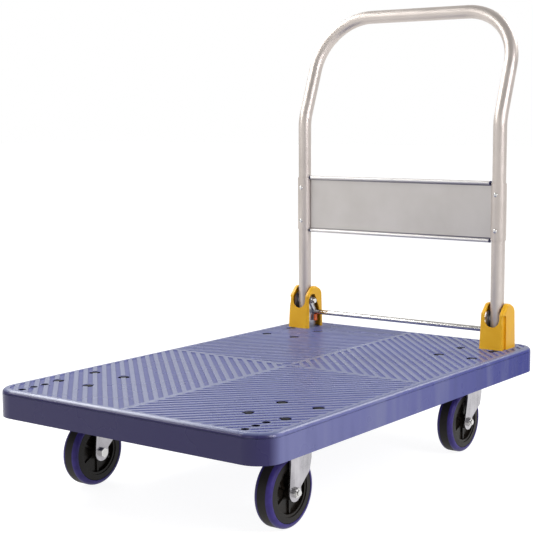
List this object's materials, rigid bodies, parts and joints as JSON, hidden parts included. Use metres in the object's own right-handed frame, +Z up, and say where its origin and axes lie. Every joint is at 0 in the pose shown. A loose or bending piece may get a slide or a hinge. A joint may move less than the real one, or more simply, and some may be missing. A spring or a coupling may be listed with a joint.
{
  "type": "folding platform cart",
  "caption": "Folding platform cart with a grooved rectangular deck, a bent tube handle with a plain panel that folds down in covered hinge brackets, and rigid and swivel casters.",
  "frame": {"origin": "on the floor, at the middle of the footprint of the whole cart with its handle upright", "axes": "+Z up; +Y towards the handle end; left is -X and right is +X, as seen from the front end looking towards the handle"},
  "size_m": [0.61, 0.9754, 0.9157],
  "materials": {
    "deck_plastic": "moulded, fine grain",
    "hub_plastic": "smooth moulded",
    "cushion_rubber": "satin",
    "tread_rubber": "matt",
    "cover_plastic": "satin moulded",
    "pad_plastic": "moulded",
    "plug_plastic": "moulded",
    "bush_plastic": "machined nylon",
    "handle_steel": "silver powder coat, satin",
    "panel_steel": "silver powder coat, satin",
    "zinc_steel": "bright zinc plated pressing",
    "bracket_steel": "zinc plated",
    "bar_chrome": "polished plate",
    "bright_fastener": "zinc plated",
    "dark_fastener": "black oxide"
  },
  "bodies": {
    "base": {"deck": "deck_plastic", "caster_bolts": "dark_fastener", "caster_nuts": "bright_fastener", "bracket_screws": "bright_fastener", "front_left_fork": "zinc_steel", "front_left_axle_bolt": "bright_fastener", "front_left_axle_nut": "bright_fastener", "front_left_axle_sleeve": "bright_fastener", "rear_left_plate": "zinc_steel", "rear_left_swivel_balls": "bright_fastener", "rear_left_kingpin": "bright_fastener", "left_hinge_bracket": "bracket_steel", "left_pivot_bolt": "bright_fastener", "left_hinge_cover": "cover_plastic", "left_release_spring": "bright_fastener", "front_right_fork": "zinc_steel", "front_right_axle_bolt": "bright_fastener", "front_right_axle_nut": "bright_fastener", "front_right_axle_sleeve": "bright_fastener", "rear_right_plate": "zinc_steel", "rear_right_swivel_balls": "bright_fastener", "rear_right_kingpin": "bright_fastener", "right_hinge_bracket": "bracket_steel", "right_pivot_bolt": "bright_fastener", "right_hinge_cover": "cover_plastic", "right_release_spring": "bright_fastener"},
    "handle": {"handle_tube": "handle_steel", "sign_panel": "panel_steel", "panel_rivets": "bright_fastener", "left_foot_plug": "plug_plastic", "left_pivot_bush": "bush_plastic", "left_panel_saddle": "handle_steel", "right_foot_plug": "plug_plastic", "right_pivot_bush": "bush_plastic", "right_panel_saddle": "handle_steel"},
    "release": {"release_bar": "bar_chrome", "left_release_link": "bracket_steel", "left_release_pad": "pad_plastic", "right_release_link": "bracket_steel", "right_release_pad": "pad_plastic"},
    "rear_left_caster": {"rear_left_fork": "zinc_steel", "rear_left_axle_bolt": "bright_fastener", "rear_left_axle_nut": "bright_fastener", "rear_left_axle_sleeve": "bright_fastener"},
    "front_left_wheel": {"front_left_wheel_hub": "hub_plastic", "front_left_wheel_cushion": "cushion_rubber", "front_left_wheel_tread": "tread_rubber"},
    "rear_left_wheel": {"rear_left_wheel_hub": "hub_plastic", "rear_left_wheel_cushion": "cushion_rubber", "rear_left_wheel_tread": "tread_rubber"},
    "rear_right_caster": {"rear_right_fork": "zinc_steel", "rear_right_axle_bolt": "bright_fastener", "rear_right_axle_nut": "bright_fastener", "rear_right_axle_sleeve": "bright_fastener"},
    "front_right_wheel": {"front_right_wheel_hub": "hub_plastic", "front_right_wheel_cushion": "cushion_rubber", "front_right_wheel_tread": "tread_rubber"},
    "rear_right_wheel": {"rear_right_wheel_hub": "hub_plastic", "rear_right_wheel_cushion": "cushion_rubber", "rear_right_wheel_tread": "tread_rubber"}
  },
  "joints": [
    {"name": "handle_fold", "type": "hinge", "parent": "base", "child": "handle", "pos_m": [0, 0.38727, 0.2595], "axis": [1, 0, 0], "range_deg": [0, 90]},
    {"name": "release_tread", "type": "hinge", "parent": "base", "child": "release", "pos_m": [0, 0.38727, 0.2595], "axis": [-1, 0, 0], "range_deg": [0, 22], "stiffness_Nm_per_rad": 0.2, "springref_deg": -57.3},
    {"name": "rear_left_swivel", "type": "hinge", "parent": "base", "child": "rear_left_caster", "pos_m": [-0.22, 0.30227, 0.139], "axis": [0, 0, 1], "continuous": true},
    {"name": "front_left_roll", "type": "hinge", "parent": "base", "child": "front_left_wheel", "pos_m": [-0.22, -0.32573, 0.0625], "axis": [1, 0, 0], "continuous": true},
    {"name": "rear_left_roll", "type": "hinge", "parent": "rear_left_caster", "child": "rear_left_wheel", "pos_m": [-0.22, 0.27227, 0.0625], "axis": [1, 0, 0], "continuous": true},
    {"name": "rear_right_swivel", "type": "hinge", "parent": "base", "child": "rear_right_caster", "pos_m": [0.22, 0.30227, 0.139], "axis": [0, 0, 1], "continuous": true},
    {"name": "front_right_roll", "type": "hinge", "parent": "base", "child": "front_right_wheel", "pos_m": [0.22, -0.32573, 0.0625], "axis": [1, 0, 0], "continuous": true},
    {"name": "rear_right_roll", "type": "hinge", "parent": "rear_right_caster", "child": "rear_right_wheel", "pos_m": [0.22, 0.27227, 0.0625], "axis": [1, 0, 0], "continuous": true}
  ]
}
